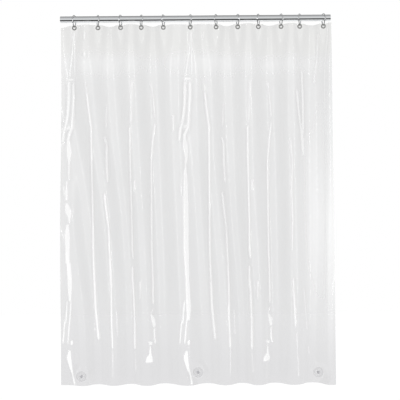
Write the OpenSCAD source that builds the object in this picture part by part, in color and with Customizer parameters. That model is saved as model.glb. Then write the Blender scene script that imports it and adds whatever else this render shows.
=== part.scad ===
// Clear shower curtain liner on its rod. Millimetres, +Z up, rod along X, front towards -Y.
// The origin is on the rod's axis, half-way along the rod.

/* [Rod] */
// Length of the rod
rod_len = 1372; // [1350:1:1500]
// Outer diameter of the rod
rod_d = 32; // [30:0.5:32.5]
// Wall of the tube
rod_wall = 1; // [0.8:0.1:2]

/* [Rings] */
// Thickness of the ring wire
wire_d = 4; // [3:0.1:4.2]
// Radius of the wire's centre line over the rod
ring_top_r = 20.6; // [20.4:0.1:21.5]
// Radius of the wire's centre line through the eyelet
ring_foot_r = 6.5; // [6:0.1:8]
// Distance between the centres of the two bends
ring_drop = 33; // [31:0.5:36]
// Turn of each ring about the vertical, to one side and the other in turn
ring_yaw = 22; // [0:1:24]

/* [Film] */
// Flat width of the film
film_w = 1829; // [1800:1:1860]
// Height of the film from its top edge to its bottom edge
film_h = 1829; // [600:1:2200]
// Thickness of the film
film_t = 0.25; // [0.15:0.05:0.5]
// Top edge of the film above the middle of the eyelets
top_hem = 14; // [13.5:0.5:20]
// Space between two panels where they meet at a fold
fold_gap = 4; // [2:0.5:6]
// Reach of the free edge past the first ring
left_reach = 66; // [50:1:74]
// Reach of the free edge past the last ring
right_reach = 42; // [40:1:74]

/* [Grommets] */
// Outer diameter of the eyelet's rim
eyelet_d = 24.4; // [22:0.2:25]
// Diameter of the hole through the eyelet
hole_d = 12; // [11:0.2:12.6]
// Thickness of the eyelet and washer together
grommet_t = 2.2; // [1.8:0.1:2.4]

/* [Magnets] */
// Diameter of a magnet
magnet_d = 15; // [10:0.5:18]
// Thickness of a magnet
magnet_t = 2.5; // [1.5:0.1:4]
// Diameter of the patch that is welded over a magnet
patch_d = 52; // [40:1:52]
// Height of each magnet above the bottom edge, from left to right
magnet_up = [48, 60, 54]; // [40:1:80]
// Distance of each magnet from its ring's line, along the film
magnet_out = [32, 31, 48]; // [31:1:48]

/* [Hidden] */
$fn = 64;
rod_r = rod_d / 2;
wire_r = wire_d / 2;
hole_r = hole_d / 2;
eyelet_r = eyelet_d / 2;

// Places of the twelve rings along the rod
ring_x = [-615, -495, -380, -275, -163, -26, 105, 215, 320, 435, 530, 650];
ring_count = len(ring_x);

// The side that the film bulges to, before the first ring, between rings and after the last: 1 back, -1 front
fold_side = [1, -1, 1, -1, 1, -1, -1, 1, -1, 1, -1, 1, -1];

// The wire's straight legs are tangent to both bends
leg_tilt = asin((ring_top_r - ring_foot_r) / ring_drop);
leg_len = ring_drop * cos(leg_tilt);
// The legs are a hair thicker than the bends and run a little way over their ends
leg_r = wire_r + 0.02;
leg_lap = 0.3;
clasp_d = wire_d + 1.4;
clasp_len = 8;

// The eyelet hangs on the wire's lowest point with a little play
eyelet_play = 0.8;
eyelet_z = -ring_drop - ring_foot_r + wire_r + eyelet_play - hole_r;
film_top = eyelet_z + top_hem;
film_bottom = film_top - film_h;

// Each panel is half of the film between two rings. It starts a little way from its ring's line,
// and further out where both of the ring's panels fold to the same side and nearly meet.
hinge_space = 0.7;
wide_hinge_space = 4;
panel_w = film_w / (2 * ring_count) - hinge_space;
notch_r = eyelet_r + 0.8;

// Grommet: thin sheet metal, a short barrel and a raised rim
sheet_t = 0.5;
rim_r = 0.8;
film_space = 0.3;

// Patch: a shallow cup over the magnet, with a flat rim welded to the film
patch_t = 0.4;
magnet_play = 0.2;

// The three magnets: [ring number, side of the ring]
magnet_places = [[1, 1], [6, 1], [12, -1]];

function two_digits(n) = n < 10 ? str("0", n) : str(n);
function side_word(side) = side < 0 ? "left" : "right";
function ring_name(n) = str("ring_", two_digits(n));
function grommet_name(n) = str("grommet_", two_digits(n));
function panel_name(n, side) = str("film_", two_digits(n), "_", side_word(side));
function magnet_name(k) = str("magnet_", k);
function patch_name(k) = str("magnet_patch_", k);

// Half the way to the neighbouring ring, less the space at the fold
function panel_reach(n, side) =
    n == 1 && side < 0 ? left_reach
    : n == ring_count && side > 0 ? right_reach
    : abs(ring_x[n - 1 + side] - ring_x[n - 1]) / 2 - fold_gap / 2;
function panel_side(n, side) = fold_side[side < 0 ? n - 1 : n];
function panel_start(n) = panel_side(n, -1) == panel_side(n, 1) ? wide_hinge_space : hinge_space;
function panel_angle(n, side) = acos(panel_reach(n, side) / panel_w);
// Direction of a panel about the vertical, from +X
function panel_turn(n, side) =
    side > 0 ? panel_side(n, side) * panel_angle(n, side)
    : 180 - panel_side(n, side) * panel_angle(n, side);
function yaw_of(n) = n % 2 == 1 ? -ring_yaw : ring_yaw;

// Straight tube along X
module rod() {
    color("silver")
    rotate([0, 90, 0])
    difference() {
        cylinder(h = rod_len, r = rod_r, center = true);
        cylinder(h = rod_len + 2, r = rod_r - rod_wall, center = true);
    }
}

// One straight leg of a ring, from the bend over the rod down to the bend through the eyelet
module leg() {
    translate(ring_top_r * [cos(leg_tilt), -sin(leg_tilt), 0])
    rotate([90, 0, -leg_tilt])
    children();
}

// Closed pear-shaped wire in its own plane, x across and y up
module pear_wire() {
    rotate([0, 0, -leg_tilt])
    rotate_extrude(angle = 180 + 2 * leg_tilt) translate([ring_top_r, 0]) circle(r = wire_r);
    translate([0, -ring_drop, 0])
    rotate([0, 0, 180 + leg_tilt])
    rotate_extrude(angle = 180 - 2 * leg_tilt) translate([ring_foot_r, 0]) circle(r = wire_r);
    leg() translate([0, 0, -leg_lap]) cylinder(h = leg_len + 2 * leg_lap, r = leg_r);
    mirror([1, 0, 0]) leg() translate([0, 0, -leg_lap]) cylinder(h = leg_len + 2 * leg_lap, r = leg_r);
    // Sleeve of the snap clasp, on the rear leg
    leg() translate([0, 0, (leg_len - clasp_len) / 2]) cylinder(h = clasp_len, d = clasp_d);
}

// A ring over the rod at its own place
module ring(n) {
    color("silver")
    translate([ring_x[n - 1], 0, 0])
    rotate([0, 0, yaw_of(n)])
    rotate([90, 0, 90])
    pear_wire();
}

// Outline of the eyelet: barrel, flat flange and rounded rim, x from the axis and y towards the front
module eyelet_outline() {
    front = grommet_t / 2;
    translate([hole_r, -front]) square([sheet_t, grommet_t]);
    translate([hole_r, front - sheet_t]) square([eyelet_r - rim_r - hole_r, sheet_t]);
    intersection() {
        translate([eyelet_r - rim_r, film_space / 2]) circle(r = rim_r);
        translate([0, film_space / 2]) square([eyelet_r, front]);
    }
    translate([eyelet_r - 2 * rim_r, film_space / 2]) square([rim_r, front - film_space / 2]);
}

// Outline of the washer behind the film
module washer_outline() {
    back = grommet_t / 2;
    inner_r = hole_r + sheet_t + 0.1;
    translate([inner_r, -back + sheet_t / 2]) square([eyelet_r - 1 - inner_r, sheet_t]);
}

// Eyelet and washer, turned about the hole's axis along Y
module grommet(n) {
    color("gainsboro")
    translate([ring_x[n - 1], 0, eyelet_z])
    rotate([90, 0, 0]) {
        rotate_extrude() eyelet_outline();
        rotate_extrude() washer_outline();
    }
}

// Room for the eyelet and for the ring's wire above it, open at the film's top edge
module wire_notch() {
    depth = 4;
    rotate([90, 0, 0]) cylinder(h = depth, r = notch_r, center = true);
    translate([-notch_r, -depth / 2, 0]) cube([2 * notch_r, depth, top_hem + 1]);
}

// One panel of film from a ring's line to the next fold
module film_panel(n, side) {
    color([0.9, 0.9, 0.91, 0.5])
    translate([ring_x[n - 1], 0, 0])
    rotate([0, 0, panel_turn(n, side)])
    difference() {
        translate([panel_start(n), -film_t / 2, film_bottom]) cube([panel_w - panel_start(n), film_t, film_h]);
        translate([0, 0, eyelet_z]) wire_notch();
    }
}

// Places its children on the back face of the panel that carries magnet k, their axis z away from the film
module on_film(k) {
    n = magnet_places[k - 1][0];
    side = magnet_places[k - 1][1];
    translate([ring_x[n - 1], 0, film_bottom + magnet_up[k - 1]])
    rotate([0, 0, panel_turn(n, side)])
    translate([magnet_out[k - 1], side * film_t / 2, 0])
    rotate([-side * 90, 0, 0])
    children();
}

module magnet(k) {
    color("dimgray")
    on_film(k) cylinder(h = magnet_t, d = magnet_d);
}

// Cup with a flat rim, all of one thickness
module magnet_patch(k) {
    cup_r = magnet_d / 2 + magnet_play;
    cup_h = magnet_t + magnet_play;
    color([0.86, 0.86, 0.88, 0.6])
    on_film(k)
    difference() {
        union() {
            cylinder(h = patch_t, d = patch_d);
            cylinder(h = cup_h + patch_t, r = cup_r + patch_t);
        }
        translate([0, 0, -1]) cylinder(h = cup_h + 1, r = cup_r);
    }
}

rod();
for (n = [1 : ring_count]) {
    ring(n);
    grommet(n);
    for (side = [-1, 1]) {
        film_panel(n, side);
    }
}
for (k = [1 : 3]) {
    magnet(k);
    magnet_patch(k);
}
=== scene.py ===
import math

import bpy
import numpy as np
from mathutils import Matrix, Vector


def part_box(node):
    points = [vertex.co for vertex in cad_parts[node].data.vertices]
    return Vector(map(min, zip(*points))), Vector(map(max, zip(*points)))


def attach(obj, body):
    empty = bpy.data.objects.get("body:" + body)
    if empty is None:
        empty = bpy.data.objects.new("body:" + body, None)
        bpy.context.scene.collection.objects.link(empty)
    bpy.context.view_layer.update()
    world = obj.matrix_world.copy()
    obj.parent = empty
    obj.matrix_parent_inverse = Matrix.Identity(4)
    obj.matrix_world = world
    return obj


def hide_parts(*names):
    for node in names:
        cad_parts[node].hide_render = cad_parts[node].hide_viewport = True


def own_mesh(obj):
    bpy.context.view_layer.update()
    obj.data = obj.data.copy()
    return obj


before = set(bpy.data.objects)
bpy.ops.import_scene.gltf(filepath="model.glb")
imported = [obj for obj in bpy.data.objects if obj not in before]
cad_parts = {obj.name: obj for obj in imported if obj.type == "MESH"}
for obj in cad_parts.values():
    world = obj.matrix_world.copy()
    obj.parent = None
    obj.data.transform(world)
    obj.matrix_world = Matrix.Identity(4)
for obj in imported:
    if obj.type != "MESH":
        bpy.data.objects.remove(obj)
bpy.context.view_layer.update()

bl_info = {
    "name": "Clear Shower Curtain",
    "version": (1, 0, 0),
    "blender": (4, 5, 0),
    "location": "View3D > Sidebar > Curtain",
    "description": "Dresses a hung shower curtain liner: film, rings, grommets, rod and hem magnets",
    "category": "Object",
}

MM = 0.001
FILM_THICKNESS = 0.25 * MM

# What the frame says of the curtain
RING_COUNT = 12
RING_NAMES = [f"ring_{n:02d}" for n in range(1, RING_COUNT + 1)]
GROMMET_NAMES = [f"grommet_{n:02d}" for n in range(1, RING_COUNT + 1)]
PANEL_NAMES = [f"film_{n:02d}_{side}" for n in range(1, RING_COUNT + 1) for side in ("left", "right")]
MAGNET_NUMBERS = (1, 2, 3)


def centre(node):
    """Middle of a CAD node's box."""
    low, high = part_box(node)
    return (low + high) / 2


RING_X = np.array([centre(name).x for name in GROMMET_NAMES])
EYELET_Z = centre(GROMMET_NAMES[0]).z
FILM_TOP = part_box(PANEL_NAMES[0])[1].z
FILM_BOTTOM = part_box(PANEL_NAMES[0])[0].z
FILM_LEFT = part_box(PANEL_NAMES[0])[0].x
FILM_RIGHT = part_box(PANEL_NAMES[-1])[1].x
# The side that the film bulges to in front of the first ring and after each one: 1 back, -1 front
GAP_SIDES = [int(np.sign(centre(PANEL_NAMES[0]).y))] + [
    int(np.sign(centre(name).y)) for name in PANEL_NAMES[1::2]
]

# Folds along the top edge in ring spacings, and along the bottom edge in millimetres of flat film.
# Even ones bulge back and odd ones bulge forward; two more start at the left edge on the way down.
TOP_FOLDS = [0, 1, 2, 3, 4, 5, 5.5, 6, 7, 8, 9, 10, 11, 12]
BOTTOM_FOLDS = [0, 120, 225, 325, 430, 540, 655, 805, 925, 1055, 1160, 1290, 1410, 1550, 1665, 1800]
EXTRA_BOTTOM_FOLDS = 2
# How far past its panels each of the film's side edges hangs, at the top and at the bottom
LEFT_SPREAD = (5 * MM, 15 * MM)
RIGHT_SPREAD = (-8 * MM, 4 * MM)

# Creases that were pressed in while the film lay folded in its packet. Each is (strength, half width,
# points), in millimetres, and a point is (right of the first ring, below the film's top edge).
# The packet's folds repeat across the film, so the set is pressed in twice, a pitch apart.
PACKET_PITCH = 595
PACKET_CREASES = [
    (0.6, 3, [(0, 35), (-15, 150), (-30, 255)]),
    (0.6, 3, [(0, 35), (0, 150), (0, 255)]),
    (1.0, 5, [(-40, 275), (-5, 275)]),
    (1.2, 5, [(-35, 290), (-35, 370), (-40, 445), (-50, 505), (-60, 535), (-65, 590)]),
    (1.2, 5, [(-10, 290), (-10, 360), (-15, 440), (-20, 520), (-35, 555), (-40, 600)]),
    (0.9, 4, [(-45, 505), (-25, 510)]),
    (0.9, 4, [(-50, 530), (-25, 520)]),
    (0.6, 4, [(-35, 690), (-35, 790)]),
    (0.5, 4, [(-60, 815), (-55, 870)]),
    (1.0, 4, [(65, 350), (75, 445), (85, 520), (85, 805), (85, 1140), (90, 1300)]),
    (1.1, 5, [(90, 1300), (95, 1440), (110, 1600)]),
    (0.4, 3, [(55, 285), (65, 350)]),
    (0.5, 3, [(160, 400), (155, 520)]),
    (0.9, 4, [(150, 570), (160, 610), (160, 690), (165, 800)]),
    (1.1, 4, [(150, 855), (155, 905), (170, 1035)]),
    (0.9, 4, [(170, 1035), (175, 1180), (180, 1320), (180, 1500), (185, 1640)]),
    (0.4, 3, [(185, 1640), (185, 1790)]),
    (0.4, 6, [(295, 285), (290, 410), (285, 500)]),
    (0.9, 3.5, [(280, 520), (280, 620), (280, 690), (285, 1000), (285, 1140), (290, 1190)]),
    (1.0, 4, [(285, 1230), (285, 1290), (290, 1350), (295, 1500), (295, 1650)]),
    (0.4, 3, [(295, 1650), (300, 1770)]),
    (0.5, 3, [(385, 290), (395, 350), (405, 470)]),
    (0.9, 3.5, [(405, 500), (395, 570), (385, 690), (385, 1000), (385, 1140), (390, 1290), (390, 1420)]),
    (0.9, 3, [(390, 1440), (380, 1465)]),
    (1.0, 4, [(395, 1540), (395, 1590), (400, 1620)]),
    (0.5, 4, [(300, 790), (300, 850)]),
    (0.5, 3, [(325, 1300), (325, 1400)]),
    (0.5, 3, [(205, 1450), (210, 1580)]),
]
# Creases that the film has only once, in millimetres right of the rod's middle and below the top edge
SINGLE_CREASES = [
    (0.6, 3, [(475, 590), (485, 700), (480, 830), (485, 1000), (480, 1150)]),
    (0.8, 3.5, [(485, 1290), (490, 1400), (495, 1540)]),
    (1.1, 4, [(510, 340), (520, 450), (535, 560), (540, 650)]),
    (1.1, 4, [(540, 240), (545, 400), (545, 560)]),
    (0.5, 3, [(625, 50), (620, 160), (605, 300)]),
    (0.4, 3, [(540, 1330), (560, 1560)]),
    (0.4, 3, [(565, 1640), (570, 1690)]),
    (0.4, 3, [(500, 1560), (510, 1790)]),
    (0.5, 4, [(-560, 35), (-560, 75), (-550, 80)]),
    (0.9, 5, [(-560, 140), (-560, 165)]),
    (0.9, 4, [(-435, 45), (-435, 55)]),
    (0.5, 3, [(40, 40), (40, 80)]),
    (0.8, 4, [(40, 145), (40, 160)]),
    (0.6, 5, [(-115, 460), (-115, 545)]),
]
# Flares, where the film stands out flat and catches the light, raised and painted on as a highlight, as
# (right of the first ring, below the top edge, half width) down the middle of each: the first packet
# fold's, the second's, and both folds'
FIRST_FLARES = [
    [(-40, 570, 5), (-35, 640, 11), (-35, 670, 8), (-35, 710, 1)],
    [(-45, 790, 2), (-45, 850, 6), (-45, 890, 4)],
    [(-45, 900, 4), (-35, 950, 15), (-30, 970, 8), (-30, 1005, 1)],
    [(-40, 1010, 3), (-40, 1060, 11), (-40, 1110, 11), (-40, 1210, 10)],
    [(-35, 1200, 10), (-30, 1300, 11), (-30, 1350, 9), (-30, 1400, 5)],
]
SECOND_FLARES = [
    [(-40, 560, 4), (-35, 620, 12), (-30, 680, 6), (-30, 710, 1)],
    [(-35, 720, 2), (-35, 780, 9), (-35, 900, 12), (-35, 1140, 12), (-30, 1290, 9), (-25, 1450, 11),
     (-25, 1500, 5)],
]
PACKET_FLARES = [
    [(-35, 1650, 3), (-40, 1690, 11), (-30, 1740, 6), (-20, 1770, 3), (-10, 1820, 4)],
    [(-25, 1600, 5), (-25, 1620, 5)],
    [(375, 1630, 2), (375, 1670, 5), (370, 1690, 15), (370, 1710, 17)],
    [(380, 1470, 3), (390, 1500, 8), (395, 1530, 6)],
    [(370, 1605, 6), (380, 1620, 8)],
]
# One that the film has only once, from the rod's middle
SINGLE_FLARE = [(530, 500, 2), (540, 590, 8), (545, 650, 6), (545, 665, 3)]
# Rails that run down beside each other: (start, end, left, right)
RAILS = [(1400, 1520, -45, -25), (1500, 1620, -60, -35)]
# The small beads of a crease that was bent to and fro: (start, end, left, right)
ZIGZAGS = [(600, 690, 275, 285), (1280, 1340, 280, 290), (520, 560, 275, 285), (505, 545, -45, -20)]
ZIGZAG_STEP = 14

# Lighter patches of film, pale ones near the top edge and, down the right side, painted broad highlights
# where the flat film faces the soft boxes: (right of the rod's middle, below the top edge, half width, half
# height, strength), in millimetres
PALE_PATCHES_AND_HIGHLIGHT = [
    (-480, 195, 280, 60, 0.45),
    (60, 195, 240, 60, 0.45),
    (430, 205, 260, 50, 0.35),
    (680, 1000, 120, 440, 1.0),
    (680, 560, 90, 180, 0.5),
]
# The studio that the chrome reflects, from straight down at 0 to straight up at 1, as (place, brightness)
STUDIO_STOPS = [
    (0.0, 0.3), (0.02, 0.3), (0.03, 0.01), (0.21, 0.01), (0.31, 0.5), (0.50, 0.9), (0.70, 0.75), (1.0, 0.5),
]


# ------------------------------------ small helpers


def linear(hex_colour):
    """The linear colour of an sRGB hex value such as D8DADC."""
    parts = [int(hex_colour[i : i + 2], 16) / 255 for i in (0, 2, 4)]
    return tuple(c / 12.92 if c <= 0.04045 else ((c + 0.055) / 1.055) ** 2.4 for c in parts)


def scaled(colour, *factors):
    """A colour as a socket takes it: times one factor, or one for each part, and with none over 1."""
    factors = factors * 3 if len(factors) == 1 else factors
    return (*(min(1.0, c * f) for c, f in zip(colour, factors)), 1.0)


def add_node(tree, kind, inputs=None, **settings):
    """Adds a node. Settings are its attributes; inputs are its sockets' values, or sockets to link."""
    node = tree.nodes.new(kind)
    for key, value in settings.items():
        setattr(node, key, value)
    for place, value in (inputs or {}).items():
        if isinstance(value, bpy.types.NodeSocket):
            tree.links.new(value, node.inputs[place])
        else:
            node.inputs[place].default_value = value
    return node


def new_material(name):
    """An empty node material and the tree in it."""
    material = bpy.data.materials.new(name)
    material.use_nodes = True
    material.node_tree.nodes.clear()
    return material, material.node_tree


def finish_material(tree, shader):
    """Joins a shader to the material's output."""
    add_node(tree, "ShaderNodeOutputMaterial", {"Surface": shader.outputs["BSDF"]})


def dress(node_name, material):
    """Gives a CAD node a material of its own."""
    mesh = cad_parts[node_name].data
    mesh.materials.clear()
    mesh.materials.append(material)


def only(thing):
    """Makes this the only selected object, and the active one."""
    bpy.ops.object.select_all(action="DESELECT")
    thing.select_set(True)
    bpy.context.view_layer.objects.active = thing


def ease(share):
    """Goes from 0 to 1 with a level start and end."""
    share = np.clip(share, 0, 1)
    return share * share * (3 - 2 * share)


def bell(distance, reach):
    """1 at no distance, falling away smoothly to a little over a third at the reach."""
    return np.exp(-((distance / reach) ** 2))


# ------------------------------------ settings


class FilmSettings(bpy.types.PropertyGroup):
    flat_width: bpy.props.FloatProperty(
        name="Flat width", description="Width that the film was cut to",
        default=1.829, min=1.5, max=2.0, unit="LENGTH", subtype="DISTANCE")
    flat_height: bpy.props.FloatProperty(
        name="Flat height", description="Height that the film was cut to",
        default=FILM_TOP - FILM_BOTTOM, min=0.5, max=2.2, unit="LENGTH", subtype="DISTANCE")
    crease_height: bpy.props.FloatProperty(
        name="Crease height", description="How far a pressed crease stands out of the film",
        default=2.2 * MM, min=0.0, max=6 * MM, unit="LENGTH", subtype="DISTANCE")
    colour: bpy.props.FloatVectorProperty(
        name="Film colour", description="Tint of the clear vinyl",
        subtype="COLOR", default=linear("C9C9CA"))
    # Painted highlight: the white laid along each crease's ridge stands in for the soft boxes' glints on it
    crease_highlight_colour: bpy.props.FloatVectorProperty(
        name="Crease colour", description="Colour of the film where a crease has stretched it white",
        subtype="COLOR", default=linear("FFFFFF"))
    solidity: bpy.props.FloatProperty(
        name="Solidity", description="Share of the light behind the film that it holds back",
        default=0.36, min=0.05, max=1.0, subtype="FACTOR")


class MetalSettings(bpy.types.PropertyGroup):
    chrome: bpy.props.FloatVectorProperty(
        name="Chrome", description="Colour of the plated rod", subtype="COLOR", default=linear("ECEEF0"))
    bright_chrome: bpy.props.FloatVectorProperty(
        name="Bright chrome", description="Colour of the plated rings",
        subtype="COLOR", default=linear("F2F3F4"))
    nickel: bpy.props.FloatVectorProperty(
        name="Nickel", description="Colour of the plated grommets",
        subtype="COLOR", default=linear("9C9C9A"))


class MagnetSettings(bpy.types.PropertyGroup):
    rim: bpy.props.FloatProperty(
        name="Weld width", description="Width of the welded ring round a pocket",
        default=2.2 * MM, min=0.5 * MM, max=5 * MM, unit="LENGTH", subtype="DISTANCE")
    wall: bpy.props.FloatProperty(
        name="Pocket wall", description="Thickness of the pocket's vinyl",
        default=0.4 * MM, min=0.2 * MM, max=1 * MM, unit="LENGTH", subtype="DISTANCE")
    pocket_colour: bpy.props.FloatVectorProperty(
        name="Pocket colour", description="Tint of the pocket's vinyl",
        subtype="COLOR", default=linear("FFFFFF"))
    pocket_solidity: bpy.props.FloatProperty(
        name="Pocket solidity", description="Share of light that each face of the pocket holds back",
        default=0.07, min=0.02, max=1.0, subtype="FACTOR")
    magnet_colour: bpy.props.FloatVectorProperty(
        name="Magnet colour", description="Colour of the magnet's plating",
        subtype="COLOR", default=linear("FAFAFC"))


class StageSettings(bpy.types.PropertyGroup):
    distance: bpy.props.FloatProperty(
        name="Camera distance", description="From the camera to the rod's plane",
        default=5.6, min=2.0, max=12.0, unit="LENGTH", subtype="DISTANCE")
    view_width: bpy.props.FloatProperty(
        name="View width", description="Width that the camera sees at the rod's plane",
        default=2.032, min=1.0, max=4.0, unit="LENGTH", subtype="DISTANCE")
    camera_side: bpy.props.FloatProperty(
        name="Camera to the right", description="How far right of the rod's middle the camera is",
        default=17 * MM, min=-0.5, max=0.5, unit="LENGTH", subtype="DISTANCE")
    camera_height: bpy.props.FloatProperty(
        name="Camera height", description="Height of the camera from the rod's axis",
        default=-0.921, min=-2.0, max=1.0, unit="LENGTH", subtype="DISTANCE")
    camera_roll: bpy.props.FloatProperty(
        name="Camera roll", description="How far the camera leans over, so that the rod rises to the right",
        default=math.radians(0.42), min=-0.1, max=0.1, subtype="ANGLE")
    floor_drop: bpy.props.FloatProperty(
        name="Floor below hem", description="Height of the bottom edge above the floor",
        default=0.11, min=0.02, max=0.5, unit="LENGTH", subtype="DISTANCE")
    floor_colour: bpy.props.FloatVectorProperty(
        name="Floor colour", description="Colour of the plain floor",
        subtype="COLOR", default=linear("FFFFFF"))


# ------------------------------------ the film's shape


def fold_numbers(flat, width):
    """Where each point of a row is among the folds, along the top edge and along the bottom edge."""
    spacing = width / RING_COUNT
    top = np.interp(flat, np.array(TOP_FOLDS) * spacing, np.arange(len(TOP_FOLDS)))
    bottom = np.array(BOTTOM_FOLDS) * MM
    numbers = np.arange(len(bottom)) - EXTRA_BOTTOM_FOLDS
    return top, np.interp(flat, bottom, numbers)


def soften(values, reach):
    """A running average over reach samples to each side, with the ends held."""
    window = np.hanning(2 * reach + 1)
    window /= window.sum()
    return np.convolve(np.pad(values, reach, mode="edge"), window, mode="valid")


class FilmShape:
    """The hung film: each row is a line of fixed length that turns left and right about the vertical."""

    step = 1 * MM
    # Heights below the top edge over which the rings shape the film
    ring_reach = 150 * MM
    flat_reach = 42 * MM
    eyelet_flat = 15 * MM
    # The most that the film turns, in radians
    steepest = 1.75
    # Samples over which the folds' places are averaged, along the top edge and along the bottom one
    top_soften = 18
    bottom_soften = 24
    # How far, in folds, a fold strays from its line on the way down
    stray = 0.08
    # The slight fold behind ring 6: how much of it is missing at the top, and over what reach
    weak_ring = 5
    weak_share = 0.75
    weak_reach = 62 * MM
    # How much of a new fold has to be in before it has its own level
    settling = 0.6

    def __init__(self, width, height):
        self.width = width
        self.height = height
        self.flat = np.arange(0, width + self.step / 2, self.step)
        self.ring_flat = (np.arange(RING_COUNT) + 0.5) * width / RING_COUNT
        self.ends = np.concatenate([[0], self.ring_flat, [width]])
        self.end_index = np.rint(self.ends / self.step).astype(int)
        self.top_fold, self.bottom_fold = fold_numbers(self.flat, width)
        self.top_fold = soften(self.top_fold, self.top_soften)
        self.bottom_fold = soften(self.bottom_fold, self.bottom_soften)
        self.eyelets = sum(np.exp(-(((self.flat - f) / self.eyelet_flat) ** 4)) for f in self.ring_flat)
        self.ring_turns = self.turns_at_rings()

    def turns_at_rings(self):
        """Turn of the film along the top edge: level at each ring, and out and back between rings."""
        turns = np.zeros_like(self.flat)
        half = self.width / RING_COUNT / 2
        for number, side in enumerate(GAP_SIDES):
            low, high = self.ends[number], self.ends[number + 1]
            inside = (self.flat >= low) & (self.flat <= high)
            way = (self.flat[inside] - low) / (high - low)
            if number == 0:
                way = 0.5 + (self.flat[inside] - low) / half / 2
            if number == RING_COUNT:
                way = (self.flat[inside] - low) / half / 2
            turns[inside] = side * np.sin(2 * math.pi * way)
        return turns

    def places(self, lean):
        """X of the edges and the ring lines, in a row that leans this far towards the bottom edge."""
        top = np.concatenate([[FILM_LEFT - LEFT_SPREAD[0]], RING_X, [FILM_RIGHT + RIGHT_SPREAD[0]]])
        magnets = [centre(f"magnet_{k}").x for k in MAGNET_NUMBERS]
        knots = np.concatenate([[0], magnet_flats(self.width), [self.width]])
        bottom_knots = np.concatenate([
            [FILM_LEFT - LEFT_SPREAD[1]], magnets, [FILM_RIGHT + RIGHT_SPREAD[1]]])
        bottom = np.interp(self.ends, knots, bottom_knots)
        return (1 - lean) * top + lean * bottom

    def turn_scales(self, shape, wanted):
        """How far each stretch between ring lines has to turn, so that it spans the wanted width."""
        starts = self.end_index[:-1]
        counts = np.diff(self.end_index)
        low = np.zeros(len(starts))
        high = np.full(len(starts), self.steepest)
        for _ in range(22):
            middle = (low + high) / 2
            spread = np.repeat(middle, counts)
            spans = np.add.reduceat(np.cos(spread * shape[:-1]), starts) * self.step
            too_wide = spans > wanted
            low = np.where(too_wide, middle, low)
            high = np.where(too_wide, high, middle)
        return np.append(np.repeat(middle, counts), middle[-1])

    def row(self, down):
        """X, Y and turn of every sample of the row this far below the top edge."""
        share = down / self.height
        lean = float(ease(share))
        wander = self.stray * np.sin(6.0 * share + 5.0 * self.flat)
        folds = (1 - lean) * self.top_fold + lean * self.bottom_fold + wander * share
        wave = -np.sin(math.pi * folds)
        # Ring 6 has the film in front of it on both sides, so the fold behind it is slight at first
        weak = bell(self.flat - self.ring_flat[self.weak_ring], self.weak_reach) * (1 - lean)
        wave = wave * (1 - self.weak_share * weak)
        near = math.exp(-((down / self.ring_reach) ** 2))
        shape = near * self.ring_turns + (1 - near) * wave
        eyelet_drop = (FILM_TOP - EYELET_Z - down) / self.flat_reach
        shape = shape * (1 - self.eyelets * math.exp(-(eyelet_drop**2)))

        ends_x = self.places(lean)
        scales = soften(self.turn_scales(shape, np.diff(ends_x)), int(4 + 30 * (1 - near)))
        turn = scales * shape
        x = ends_x[0] + np.concatenate([[0], np.cumsum(np.cos(turn[:-1]))]) * self.step
        x += np.interp(self.flat, self.ends, ends_x - x[self.end_index])
        y = np.concatenate([[0], np.cumsum(np.sin(turn[:-1]))]) * self.step

        rings = self.end_index[1:-1]
        ring_trend = np.interp(self.flat, self.ring_flat, y[rings])
        halves = np.arange(math.ceil(folds[0] - 0.5), math.floor(folds[-1] - 0.5) + 1) + 0.5
        crossings = np.interp(halves, np.maximum.accumulate(folds), self.flat)
        levels = np.interp(crossings, self.flat, y)
        # A fold that has only just come in from the left edge takes its level from the next one
        settled = float(ease((halves[0] - folds[0]) / self.settling))
        levels[0] = settled * levels[0] + (1 - settled) * levels[1]
        wave_trend = np.interp(self.flat, crossings, levels)
        y = y - near * ring_trend - (1 - near) * wave_trend
        return x, y, turn


def magnet_flats(width):
    """How far along the flat film each magnet is."""
    found = []
    for k in MAGNET_NUMBERS:
        place = centre(f"magnet_{k}")
        ring = int(np.argmin(np.abs(RING_X - place.x)))
        out = math.hypot(place.x - RING_X[ring], place.y)
        found.append((ring + 0.5) * width / RING_COUNT + math.copysign(out, place.x - RING_X[ring]))
    return np.array(found)


# ------------------------------------ the film's creases

# How far a flare is raised, and how strongly it is painted as a highlight
FLARE_STRENGTH = 0.9
# The shade beside a crease: its strength, and how far off it is in half widths
SHADE_STRENGTH = 0.3
SHADE_OFF = 2.3


def zigzag(start, end, left, right):
    """A crease that crosses from side to side on its way down."""
    downs = np.arange(start, end, ZIGZAG_STEP)
    return [(left if i % 2 else right, down) for i, down in enumerate(downs)]


def fold_places():
    """X of the packet's two folds."""
    return [RING_X[0], RING_X[0] + PACKET_PITCH * MM]


def all_creases():
    """Every crease as (strength, half width, points), in metres."""
    packet = PACKET_CREASES + [(0.8, 3.5, zigzag(*z)) for z in ZIGZAGS]
    for start, end, left, right in RAILS:
        packet += [(0.8, 3.5, [(side, start), (side - 10, end)]) for side in (left, right)]
    found = []
    for place in fold_places():
        for strength, width, points in packet:
            found.append((strength, width * MM, np.array(points) * MM + (place, 0)))
    for strength, width, points in SINGLE_CREASES:
        found.append((strength, width * MM, np.array(points) * MM))
    return found


def placed_flares():
    """Each group of flares, with the X that its middles are counted from."""
    first, second = fold_places()
    return [
        (first, FIRST_FLARES + PACKET_FLARES),
        (second, SECOND_FLARES + PACKET_FLARES),
        (0, [SINGLE_FLARE]),
    ]


def flare_field(across, down):
    """Where the film stands out flat beside a heavy crease: 1 inside a flare and 0 outside it."""
    field = np.zeros(across.shape)
    for place, flares in placed_flares():
        for flare in flares:
            middle, depth, half = (np.array(flare) * MM).T
            width = np.interp(down, depth, half)
            off = np.abs(across - place - np.interp(down, depth, middle))
            inside = ease((width - off) / (3 * MM) + 0.5)
            inside = inside * ease((down - depth[0]) / (8 * MM)) * ease((depth[-1] - down) / (6 * MM) + 0.5)
            field = np.maximum(field, inside)
    return field


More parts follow.
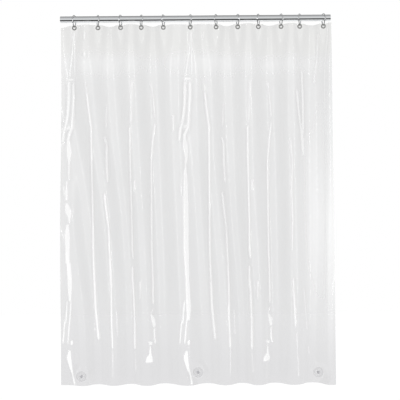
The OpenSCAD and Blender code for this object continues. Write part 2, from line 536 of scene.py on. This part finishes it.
def distance_to(points, across, down):
    """Distance of every point of the film from a crease, and how far along it the nearest place is."""
    best = np.full(across.shape, 1e9)
    along = np.zeros(across.shape)
    passed = 0.0
    for (ax, ad), (bx, bd) in zip(points[:-1], points[1:]):
        dx, dd = bx - ax, bd - ad
        length = math.hypot(dx, dd)
        way = np.clip(((across - ax) * dx + (down - ad) * dd) / length**2, 0, 1)
        distance = np.hypot(across - ax - way * dx, down - ad - way * dd)
        closer = distance < best
        best = np.where(closer, distance, best)
        along = np.where(closer, passed + way * length, along)
        passed += length
    return best, along, passed


def crease_field(across, down):
    """How sharply the film is creased at each point, which also places its painted highlights and shade: 1
    on a ridge, a little below 0 beside it.
    """
    ridge = np.zeros(across.shape)
    beside = np.zeros(across.shape)
    for number, (strength, width, points) in enumerate(all_creases()):
        distance, along, length = distance_to(points, across, down)
        # A crease comes and goes along its length, and dies away at its ends
        beads = 0.78 + 0.22 * np.sin(along / (19 * MM) + 1.7 * number) * np.sin(along / (53 * MM) + number)
        ends = ease(along / (18 * MM) + 0.35) * ease((length - along) / (18 * MM) + 0.35)
        force = strength * beads * ends
        ridge = np.maximum(ridge, force * bell(distance, width))
        beside = np.maximum(beside, force * bell(distance - SHADE_OFF * width, width))
    ridge = np.maximum(ridge, FLARE_STRENGTH * flare_field(across, down))
    return ridge - SHADE_STRENGTH * beside * (1 - np.clip(ridge, 0, 1))


def pale_patch_and_highlight_field(across, down):
    """How far each point of the film is inside a lighter patch."""
    field = np.zeros(across.shape)
    for middle, depth, half_width, half_height, strength in PALE_PATCHES_AND_HIGHLIGHT:
        off = ((across / MM - middle) / half_width) ** 2 + ((down / MM - depth) / half_height) ** 2
        field = np.maximum(field, strength * np.exp(-off))
    return field


# ------------------------------------ the film's mesh

COLUMNS = 455
ROWS = 208
CLOSE_COLUMN = 2.2 * MM
WIDE_COLUMN = 8 * MM
# Close columns run this far to each side of a crease, and this far past its ends
CROWD_SIDE = 9 * MM
CROWD_PAST = 150 * MM
# Film held flat by a magnet's pocket: level out to the first distance, free from the second
FLAT_POCKET = 27 * MM
FREE_POCKET = 62 * MM
# How far the top edge sags between rings, and how far down that is felt
EDGE_SAG = 3 * MM
SAG_REACH = 90 * MM
# How far the free corner beside the first ring droops, and the width and height that droop
CORNER_DROOP = 7 * MM
CORNER_WIDTH = 45 * MM
CORNER_HEIGHT = 120 * MM
# The gentle ripple all over the film, and the distance from the top edge that it needs to get free
RIPPLE = 0.9 * MM
RIPPLE_FREE = 110 * MM


def crowd_lines():
    """The lines that the mesh's columns gather along: each crease and flare that runs down the film."""
    lines = [points for _, _, points in all_creases()]
    for place, flares in placed_flares():
        lines += [np.array(flare)[:, :2] * MM + (place, 0) for flare in flares]
    return [line for line in lines if np.all(np.diff(line[:, 1]) > 0)]


def column_places(flat, row_x, down, lines):
    """Places of a row's columns along the flat film: close together where creases run."""
    crowd = np.zeros(flat.shape)
    # A crease that zigzags is taken at the middle of its swings
    around = np.array([-1.5, -0.5, 0.5, 1.5]) * ZIGZAG_STEP * MM
    for line in lines:
        past = max(line[0, 1] - down, down - line[-1, 1], 0)
        place = np.interp(down + around, line[:, 1], line[:, 0]).mean()
        crowd = np.maximum(crowd, (np.abs(row_x - place) < CROWD_SIDE) * ease(1 - past / CROWD_PAST))
    crowd = 1 / WIDE_COLUMN + soften(crowd, 8) * (1 / CLOSE_COLUMN - 1 / WIDE_COLUMN)
    total = np.concatenate([[0], np.cumsum(crowd[:-1])])
    return np.interp(np.linspace(0, total[-1], COLUMNS), total, flat)


def film_grid(settings):
    """X, Y, Z, crease and flat place of every point of the hung film, in rows from the top edge down."""
    shape = FilmShape(settings.flat_width, settings.flat_height)
    downs = np.linspace(0, settings.flat_height, ROWS)
    rows = [shape.row(down) for down in downs]
    lines = crowd_lines()
    u = np.array([column_places(shape.flat, row[0], down, lines) for row, down in zip(rows, downs)])
    x, y, turn = (
        np.array([np.interp(places, shape.flat, row[i]) for places, row in zip(u, rows)]) for i in range(3))
    z = np.repeat(FILM_TOP - downs[:, None], COLUMNS, axis=1)

    deep = downs[:, None]
    between = np.sin(math.pi * (u / (settings.flat_width / RING_COUNT) - 0.5)) ** 2
    z -= EDGE_SAG * between * bell(deep, SAG_REACH)
    z -= CORNER_DROOP * bell(u, CORNER_WIDTH) * bell(deep, CORNER_HEIGHT)
    free = 1 - bell(deep, RIPPLE_FREE)
    y += free * RIPPLE * np.sin(46 * u + 0.8 * np.sin(3 * z)) * np.sin(4 * z + 9 * u)

    for k in MAGNET_NUMBERS:
        place = centre(f"magnet_{k}")
        distance = np.hypot(x - place.x, z - place.z)
        at = np.unravel_index(np.argmin(distance), distance.shape)
        held = 1 - ease((distance - FLAT_POCKET) / (FREE_POCKET - FLAT_POCKET))
        y = held * y[at] + (1 - held) * y
    crease = crease_field(x, FILM_TOP - z)
    # Creases stand out along the film's own normal
    rise = settings.crease_height * crease
    return x + rise * np.sin(turn), y - rise * np.cos(turn), z, crease, u


def film_surface_y(place):
    """Y of the hung film where a magnet is."""
    mesh = bpy.data.objects["curtain_film"].data
    points = np.zeros(len(mesh.vertices) * 3, np.float32)
    mesh.vertices.foreach_get("co", points)
    points = points.reshape(-1, 3)
    distance = np.hypot(points[:, 0] - place.x, points[:, 2] - place.z)
    return float(points[np.argmin(distance), 1])


def film_mesh(settings):
    """The film's mesh, with its flat places as UVs in metres and its creases as an attribute."""
    x, y, z, crease, u = film_grid(settings)
    points = np.stack([x, y, z], axis=-1).reshape(-1, 3)
    index = np.arange(ROWS * COLUMNS).reshape(ROWS, COLUMNS)
    quads = np.stack([index[1:, :-1], index[1:, 1:], index[:-1, 1:], index[:-1, :-1]], axis=-1)
    mesh = bpy.data.meshes.new("curtain_film")
    mesh.from_pydata(points.tolist(), [], quads.reshape(-1, 4).tolist())
    down = np.repeat(np.linspace(0, settings.flat_height, ROWS)[:, None], COLUMNS, axis=1)
    flat = np.stack([u, settings.flat_height - down], axis=-1).reshape(-1, 2)
    corners = np.zeros(len(mesh.loops), np.int32)
    mesh.loops.foreach_get("vertex_index", corners)
    layer = mesh.uv_layers.new(name="flat_film")
    layer.data.foreach_set("uv", flat[corners].astype(np.float32).ravel())
    for name, values in (("crease", crease), ("pale_patch_and_highlight", pale_patch_and_highlight_field(x, FILM_TOP - z))):
        marks = mesh.attributes.new(name, "FLOAT", "POINT")
        marks.data.foreach_set("value", values.astype(np.float32).ravel())
    mesh.update()
    return mesh


# ------------------------------------ materials


# Stretch of the film's patterns, in repeats per metre across and down: mottling some 250 mm across,
# streaks 12 mm wide drawn out by the rollers, and fine orange peel, drawn at 3 mm so that it shows
MOTTLE_SCALE = (4, 2.5, 1)
STREAK_SCALE = (80, 5, 1)
PEEL_SCALE = (330, 160, 1)
# Depths below the top edge between which the warm top band fades out
BAND_FADE = (130 * MM, 190 * MM)


def film_layers(settings, height, pale_patch_and_highlight, crease):
    """What is laid over the film's base colour: (share read from, none at, most at, most, way, colour)."""
    top = settings.flat_height
    tint = settings.colour
    return [
        # The top band is warmer, and the film darkens towards the bottom edge, most of all just above it
        (height, top - BAND_FADE[1], top - BAND_FADE[0], 0.75, "SMOOTHSTEP",
         scaled(tint, 0.98, 0.975, 0.91)),
        (height, 1.5, 0.0, 0.8, "LINEAR", scaled(tint, 0.58, 0.58, 0.61)),
        (height, 0.45, 0.02, 1.0, "SMOOTHSTEP", scaled(tint, 0.43, 0.42, 0.46)),
        # Lighter patches: pale film near the top, and painted broad highlights down the right side
        (pale_patch_and_highlight, 0.0, 1.0, 1.0, "LINEAR", scaled(tint, 1.7)),
        # A crease gets a painted highlight along its ridge and painted shade beside it
        (crease, 0.08, 0.5, 1.0, "LINEAR", scaled(settings.crease_highlight_colour, 1.0)),
        (crease, 0.0, -0.3, 1.0, "LINEAR", scaled(tint, 0.62)),
    ]


def clear_vinyl(settings):
    """Clear calendered PVC film: glossy and see-through, a little cloudy, with painted highlights along its
    creases and painted shade beside them.
    """
    material, tree = new_material("clear_pvc_film")
    flat = add_node(tree, "ShaderNodeUVMap", uv_map="flat_film").outputs["UV"]
    height = add_node(tree, "ShaderNodeSeparateXYZ", {"Vector": flat}).outputs["Y"]
    pale_patch_and_highlight = add_node(tree, "ShaderNodeAttribute", attribute_name="pale_patch_and_highlight").outputs["Fac"]
    crease = add_node(tree, "ShaderNodeAttribute", attribute_name="crease").outputs["Fac"]
    patterns = []
    for scale, detail, roughness in (
            (MOTTLE_SCALE, 3.0, 0.5), (STREAK_SCALE, 4.0, 0.6), (PEEL_SCALE, 2.0, 0.5)):
        at = add_node(tree, "ShaderNodeMapping", {"Vector": flat, "Scale": scale})
        noise = add_node(tree, "ShaderNodeTexNoise", {
            "Vector": at.outputs["Vector"], "Scale": 1.0, "Detail": detail, "Roughness": roughness})
        patterns.append(noise.outputs["Fac"])
    mottle, streaks, peel = patterns

    both = add_node(tree, "ShaderNodeMath", {0: mottle, 1: streaks}, operation="ADD")
    tone = add_node(tree, "ShaderNodeMapRange", {
        "Value": both.outputs["Value"], "From Min": 0.7, "From Max": 1.3})
    colour = add_node(tree, "ShaderNodeMix", {
        0: tone.outputs["Result"], 6: scaled(settings.colour, 0.9), 7: scaled(settings.colour, 1.1)},
        data_type="RGBA").outputs[2]
    for source, start, end, most, way, laid in film_layers(settings, height, pale_patch_and_highlight, crease):
        share = add_node(tree, "ShaderNodeMapRange", {
            "Value": source, "From Min": start, "From Max": end, "To Max": most}, interpolation_type=way)
        colour = add_node(tree, "ShaderNodeMix", {
            0: share.outputs["Result"], 6: colour, 7: laid}, data_type="RGBA").outputs[2]

    bump = add_node(tree, "ShaderNodeBump", {"Height": peel, "Strength": 0.05, "Distance": 0.4 * MM})
    gloss = add_node(tree, "ShaderNodeMapRange", {
        "Value": streaks, "From Min": 0.3, "From Max": 0.7, "To Min": 0.10, "To Max": 0.22})
    shader = add_node(tree, "ShaderNodeBsdfPrincipled", {
        "Base Color": colour, "Roughness": gloss.outputs["Result"], "Normal": bump.outputs["Normal"],
        "IOR": 1.53, "Alpha": settings.solidity})
    finish_material(tree, shader)
    return material


def plated_metal(name, colour, roughness, grain_mm, stretch):
    """Bright plated metal: mirror-like, with faint polishing marks along the tube or wire."""
    material, tree = new_material(name)
    where = add_node(tree, "ShaderNodeTexCoord")
    grain = 1 / (grain_mm * MM)
    at = add_node(tree, "ShaderNodeMapping", {
        "Vector": where.outputs["Object"], "Scale": (grain * stretch, grain, grain)})
    marks = add_node(tree, "ShaderNodeTexNoise", {
        "Vector": at.outputs["Vector"], "Scale": 1.0, "Detail": 3.0})
    tint = add_node(tree, "ShaderNodeMix", {
        0: marks.outputs["Fac"], 6: scaled(colour, 0.9), 7: scaled(colour, 1.0)}, data_type="RGBA")
    rough = add_node(tree, "ShaderNodeMapRange", {
        "Value": marks.outputs["Fac"], "From Min": 0.3, "From Max": 0.7,
        "To Min": roughness * 0.7, "To Max": roughness * 1.5})
    shader = add_node(tree, "ShaderNodeBsdfPrincipled", {
        "Base Color": tint.outputs[2], "Roughness": rough.outputs["Result"], "Metallic": 1.0})
    finish_material(tree, shader)
    return material


def welded_vinyl(settings):
    """Moulded PVC pocket: clear like the film, and dark at the weld and over the magnet's edge."""
    material, tree = new_material("welded_pvc_pocket")
    weld = add_node(tree, "ShaderNodeAttribute", attribute_name="weld")
    where = add_node(tree, "ShaderNodeTexCoord")
    # Slight clouding some 5 mm across, from the mould
    mottle = add_node(tree, "ShaderNodeTexNoise", {
        "Vector": where.outputs["Object"], "Scale": 180.0, "Detail": 2.0})
    vinyl = settings.pocket_colour
    base = add_node(tree, "ShaderNodeMix", {
        0: mottle.outputs["Fac"], 6: scaled(vinyl, 0.97), 7: scaled(vinyl, 1.0)}, data_type="RGBA")
    colour = add_node(tree, "ShaderNodeMix", {
        0: weld.outputs["Fac"], 6: base.outputs[2], 7: scaled(vinyl, 0.02)}, data_type="RGBA")
    shader = add_node(tree, "ShaderNodeBsdfPrincipled", {
        "Base Color": colour.outputs[2], "Roughness": 0.2, "IOR": 1.53, "Alpha": settings.pocket_solidity})
    finish_material(tree, shader)
    return material


# ------------------------------------ operators


class CURTAIN_OT_film(bpy.types.Operator):
    """Hangs the clear film on the rings as one sheet, with its folds and creases"""

    bl_idname = "curtain.film"
    bl_label = "Hang Film"

    def execute(self, context):
        settings = context.scene.curtain_film
        film = bpy.data.objects.new("curtain_film", film_mesh(settings))
        context.scene.collection.objects.link(film)
        only(film)
        bpy.ops.object.shade_smooth()
        film.data.materials.append(clear_vinyl(settings))
        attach(film, RING_NAMES[0])
        gather(film)
        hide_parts(*PANEL_NAMES)
        return {"FINISHED"}


def gather(piece):
    """Gives a piece a mesh of its own."""
    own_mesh(piece)


class CURTAIN_OT_rod(bpy.types.Operator):
    """Gives the rod its chrome plating"""

    bl_idname = "curtain.rod"
    bl_label = "Finish Rod"

    def execute(self, context):
        settings = context.scene.curtain_metal
        dress("rod", plated_metal("chromed_steel_tube", settings.chrome, 0.10, 3, 0.05))
        return {"FINISHED"}


class CURTAIN_OT_rings(bpy.types.Operator):
    """Gives the wire rings their chrome plating"""

    bl_idname = "curtain.rings"
    bl_label = "Finish Rings"

    def execute(self, context):
        settings = context.scene.curtain_metal
        material = plated_metal("chromed_steel_wire", settings.bright_chrome, 0.08, 2, 1.0)
        for name in RING_NAMES:
            dress(name, material)
        return {"FINISHED"}


class CURTAIN_OT_grommets(bpy.types.Operator):
    """Gives the grommets their nickel plating"""

    bl_idname = "curtain.grommets"
    bl_label = "Finish Grommets"

    def execute(self, context):
        settings = context.scene.curtain_metal
        material = plated_metal("nickel_plated_grommet", settings.nickel, 0.18, 2, 1.0)
        for name in GROMMET_NAMES:
            dress(name, material)
        return {"FINISHED"}


def place_behind_film(piece, number):
    """Turns a piece that was modelled facing up so that it faces back, and puts it behind the film."""
    place = centre(f"magnet_{number}")
    behind = film_surface_y(place) + FILM_THICKNESS
    turn = Matrix.Rotation(math.radians(-90), 4, "X")
    piece.data.transform(Matrix.Translation((place.x, behind, place.z)) @ turn)
    piece.data.update()


def tie_to_hem(piece, name, node):
    """Copies a finished piece for each magnet, places the copies behind the film and ties them to it."""
    for number in MAGNET_NUMBERS:
        copy = bpy.data.objects.new(f"{name}_{number}", piece.data.copy())
        bpy.context.scene.collection.objects.link(copy)
        place_behind_film(copy, number)
        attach(copy, RING_NAMES[0])
        gather(copy)
        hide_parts(f"{node}_{number}")
    bpy.data.meshes.remove(piece.data)


def apply_bevel(piece, width, segments):
    """Rounds a piece's edges with a bevel that is applied."""
    only(piece)
    bevel = piece.modifiers.new("bevel", "BEVEL")
    bevel.width = width
    bevel.segments = segments
    bevel.limit_method = "ANGLE"
    bpy.ops.object.modifier_apply(modifier=bevel.name)
    bpy.ops.object.shade_smooth_by_angle(angle=math.radians(35))


class CURTAIN_OT_magnets(bpy.types.Operator):
    """Makes the three hem magnets behind the film"""

    bl_idname = "curtain.magnets"
    bl_label = "Make Magnets"

    def execute(self, context):
        settings = context.scene.curtain_magnet
        thickness, diameter = magnet_size()
        bpy.ops.object.select_all(action="DESELECT")
        bpy.ops.mesh.primitive_cylinder_add(
            vertices=48, radius=diameter / 2, depth=thickness, location=(0, 0, 0))
        piece = bpy.context.active_object
        piece.data.transform(Matrix.Translation((0, 0, thickness / 2)))
        bpy.ops.object.mode_set(mode="EDIT")
        select_top_face(piece)
        bpy.ops.mesh.inset(thickness=1.2 * MM)
        bpy.ops.mesh.inset(thickness=0.6 * MM, depth=-0.2 * MM)
        bpy.ops.object.mode_set(mode="OBJECT")
        apply_bevel(piece, 0.35 * MM, 3)
        # Nickel over pressed ferrite: a soft, pale shine with no clear reflections
        material = plated_metal("plated_ferrite_magnet", settings.magnet_colour, 0.4, 1, 1.0)
        piece.data.materials.append(material)
        tie_to_hem(piece, "hem_magnet", "magnet")
        return {"FINISHED"}


def magnet_size():
    """Thickness and diameter of a magnet, as its node has them; it stands upright, so its height is one."""
    low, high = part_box("magnet_1")
    volume = mesh_volume(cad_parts["magnet_1"].data)
    diameter = high.z - low.z
    return volume / (math.pi * diameter**2 / 4), diameter


def mesh_volume(mesh):
    """Volume inside a closed mesh of triangles."""
    total = 0.0
    for face in mesh.polygons:
        a, b, c = (mesh.vertices[i].co for i in face.vertices)
        total += a.dot(b.cross(c)) / 6
    return abs(total)


def select_top_face(piece):
    """Selects the face that looks straight up, in edit mode."""
    bpy.ops.mesh.select_all(action="DESELECT")
    bpy.ops.object.mode_set(mode="OBJECT")
    for face in piece.data.polygons:
        face.select = face.normal.z > 0.99
    bpy.ops.object.mode_set(mode="EDIT")
    bpy.ops.mesh.select_mode(type="FACE")


class CURTAIN_OT_pockets(bpy.types.Operator):
    """Makes the vinyl pockets that are welded over the hem magnets"""

    bl_idname = "curtain.pockets"
    bl_label = "Make Pockets"

    def execute(self, context):
        settings = context.scene.curtain_magnet
        magnet_t, magnet_d = magnet_size()
        low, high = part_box("magnet_patch_1")
        radius = (high.z - low.z) / 2
        cup = magnet_d / 2 + 0.5 * MM
        bend = 1.2 * MM
        bpy.ops.object.select_all(action="DESELECT")
        bpy.ops.mesh.primitive_circle_add(vertices=64, radius=radius, fill_type="NGON", location=(0, 0, 0))
        piece = bpy.context.active_object
        bpy.ops.object.mode_set(mode="EDIT")
        bpy.ops.mesh.select_all(action="SELECT")
        # The weld's bead up and down, the flat out to the cup, its bend up over the magnet, and its crown
        bpy.ops.mesh.inset(thickness=settings.rim * 0.5, depth=0.35 * MM)
        bpy.ops.mesh.inset(thickness=settings.rim * 0.5, depth=-0.3 * MM)
        bpy.ops.mesh.inset(thickness=radius - settings.rim - cup - bend)
        bpy.ops.mesh.inset(thickness=bend, depth=magnet_t + 0.25 * MM)
        bpy.ops.mesh.inset(thickness=2 * MM, depth=0.1 * MM)
        bpy.ops.object.mode_set(mode="OBJECT")
        only(piece)
        wall = piece.modifiers.new("wall", "SOLIDIFY")
        wall.thickness = settings.wall
        wall.offset = 1.0
        bpy.ops.object.modifier_apply(modifier=wall.name)
        apply_bevel(piece, 0.12 * MM, 2)
        mark_welds(piece, radius, settings.rim, cup)
        piece.data.materials.append(welded_vinyl(settings))
        tie_to_hem(piece, "magnet_pocket", "magnet_patch")
        return {"FINISHED"}


def mark_welds(piece, radius, rim, cup):
    """Marks the weld at a pocket's edge and the bend round its magnet, for its material."""
    marks = piece.data.attributes.new("weld", "FLOAT", "POINT")
    for vertex, mark in zip(piece.data.vertices, marks.data):
        out = math.hypot(vertex.co.x, vertex.co.y)
        at_edge = out > radius - rim - 0.4 * MM
        at_cup = cup - 1.0 * MM < out < cup + 1.4 * MM
        mark.value = 1.0 if at_edge else 0.6 if at_cup else 0.0


class CURTAIN_OT_stage(bpy.types.Operator):
    """Sets up the plain floor, the soft studio light and the camera"""

    bl_idname = "curtain.stage"
    bl_label = "Set Stage"

    def execute(self, context):
        settings = context.scene.curtain_stage
        context.scene.view_settings.view_transform = "Standard"
        make_floor(settings)
        make_world()
        make_lights()
        make_camera(settings)
        return {"FINISHED"}


def make_floor(settings):
    """A plain pale floor a little below the film's bottom edge."""
    bpy.ops.object.select_all(action="DESELECT")
    front, back, half = 0.62, 4.5, 4.5
    bpy.ops.mesh.primitive_plane_add(size=1, location=(0, 0, 0))
    floor = bpy.context.active_object
    floor.name = "floor"
    height = FILM_BOTTOM - settings.floor_drop
    floor.data.transform(Matrix.Translation((0, (back - front) / 2, height)) @ Matrix.Diagonal(
        (2 * half, front + back, 1, 1)))
    material, tree = new_material("matt_painted_floor")
    # Mostly lit from within, as a studio's light table is, so that it stays an even white
    shader = add_node(tree, "ShaderNodeBsdfPrincipled", {
        "Base Color": (0.06, 0.06, 0.06, 1), "Roughness": 0.9,
        "Emission Color": scaled(settings.floor_colour, 1.0), "Emission Strength": 0.97})
    finish_material(tree, shader)
    floor.data.materials.append(material)


def make_world():
    """White all round to look at. What it lights is a studio: pale above and in front, a dark strip
    below eye level, and black cards to the sides and behind, which draw the edges of the chrome."""
    world = bpy.data.worlds.new("studio")
    bpy.context.scene.world = world
    world.use_nodes = True
    tree = world.node_tree
    tree.nodes.clear()
    where = add_node(tree, "ShaderNodeTexCoord")
    split = add_node(tree, "ShaderNodeSeparateXYZ", {"Vector": where.outputs["Generated"]})
    height = add_node(tree, "ShaderNodeMapRange", {"Value": split.outputs["Z"], "From Min": -1.0})
    ramp = add_node(tree, "ShaderNodeValToRGB", {"Fac": height.outputs["Result"]})
    for place, value in STUDIO_STOPS[1:-1]:
        ramp.color_ramp.elements.new(place).color = (value, value, value, 1)
    for end in (0, -1):
        ramp.color_ramp.elements[end].color = (STUDIO_STOPS[end][1],) * 3 + (1,)
    sideways = add_node(tree, "ShaderNodeMath", {0: split.outputs["X"]}, operation="ABSOLUTE")
    open_front = add_node(tree, "ShaderNodeMapRange", {
        "Value": sideways.outputs["Value"], "From Min": 0.70, "From Max": 0.92,
        "To Min": 1.0, "To Max": 0.03}, interpolation_type="SMOOTHSTEP")
    open_back = add_node(tree, "ShaderNodeMapRange", {
        "Value": split.outputs["Y"], "From Min": 0.05, "From Max": 0.40,
        "To Min": 1.0, "To Max": 0.25}, interpolation_type="SMOOTHSTEP")
    cards = add_node(tree, "ShaderNodeMath", {
        0: open_front.outputs["Result"], 1: open_back.outputs["Result"]}, operation="MULTIPLY")
    carded = add_node(tree, "ShaderNodeMix", {
        0: cards.outputs["Value"], 6: (0, 0, 0, 1), 7: ramp.outputs["Color"]}, data_type="RGBA")
    room = add_node(tree, "ShaderNodeBackground", {"Color": carded.outputs[2], "Strength": 1.0})
    seen = add_node(tree, "ShaderNodeBackground", {"Color": (1, 1, 1, 1), "Strength": 1.0})
    light = add_node(tree, "ShaderNodeLightPath")
    mixed = add_node(tree, "ShaderNodeMixShader", {
        0: light.outputs["Is Camera Ray"], 1: room.outputs["Background"], 2: seen.outputs["Background"]})
    add_node(tree, "ShaderNodeOutputWorld", {"Surface": mixed.outputs["Shader"]})


def make_lights():
    """Two tall soft boxes in front, a wide one over the rod, and one behind, each aimed at the film."""
    middle = Vector((0, 0, (FILM_TOP + FILM_BOTTOM) / 2))
    boxes = [
        ("left_soft_box", (-2.6, -3.0, -0.7), 0.35, 2.6, 31),
        ("right_soft_box", (2.6, -3.0, -0.7), 0.35, 2.6, 31),
        ("over_soft_box", (0, -1.6, 2.2), 3.0, 1.2, 14),
        ("back_soft_box", (0, 3.0, 0.6), 3.0, 2.0, 14),
    ]
    for name, place, width, height, power in boxes:
        light = bpy.data.lights.new(name, "AREA")
        light.shape = "RECTANGLE"
        light.size = width
        light.size_y = height
        light.energy = power
        box = bpy.data.objects.new(name, light)
        bpy.context.scene.collection.objects.link(box)
        box.location = place
        box.rotation_euler = (middle - Vector(place)).to_track_quat("-Z", "Y").to_euler()
        box.visible_camera = False
        box.visible_glossy = name != "over_soft_box"


def make_camera(settings):
    """A camera square to the curtain at half its height, turned a little so that the rod rises."""
    lens = bpy.data.cameras.new("camera")
    lens.sensor_width = 36
    lens.lens = lens.sensor_width * settings.distance / settings.view_width
    camera = bpy.data.objects.new("camera", lens)
    bpy.context.scene.collection.objects.link(camera)
    camera.location = (settings.camera_side, -settings.distance, settings.camera_height)
    camera.rotation_euler = (math.radians(90), settings.camera_roll, 0)
    bpy.context.scene.camera = camera


class CURTAIN_PT_panel(bpy.types.Panel):
    """Lists the curtain's pieces and their settings"""

    bl_idname = "CURTAIN_PT_panel"
    bl_label = "Shower Curtain"
    bl_space_type = "VIEW_3D"
    bl_region_type = "UI"
    bl_category = "Curtain"

    def draw(self, context):
        for group in GROUPS:
            box = self.layout.box()
            settings = getattr(context.scene, group)
            for name in settings.bl_rna.properties.keys():
                if name not in ("rna_type", "name"):
                    box.prop(settings, name)
        for step in STEPS:
            self.layout.operator(step.bl_idname)


GROUPS = {
    "curtain_film": FilmSettings,
    "curtain_metal": MetalSettings,
    "curtain_magnet": MagnetSettings,
    "curtain_stage": StageSettings,
}
STEPS = (
    CURTAIN_OT_stage, CURTAIN_OT_film, CURTAIN_OT_rod, CURTAIN_OT_rings, CURTAIN_OT_grommets,
    CURTAIN_OT_magnets, CURTAIN_OT_pockets,
)
CLASSES = (*GROUPS.values(), *STEPS, CURTAIN_PT_panel)


def register():
    for item in CLASSES:
        bpy.utils.register_class(item)
    for name, group in GROUPS.items():
        setattr(bpy.types.Scene, name, bpy.props.PointerProperty(type=group))


def unregister():
    for name in GROUPS:
        delattr(bpy.types.Scene, name)
    for item in reversed(CLASSES):
        bpy.utils.unregister_class(item)


def main():
    register()
    for step in STEPS:
        group, name = step.bl_idname.split(".")
        getattr(getattr(bpy.ops, group), name)()


if __name__ == "__main__":
    main()
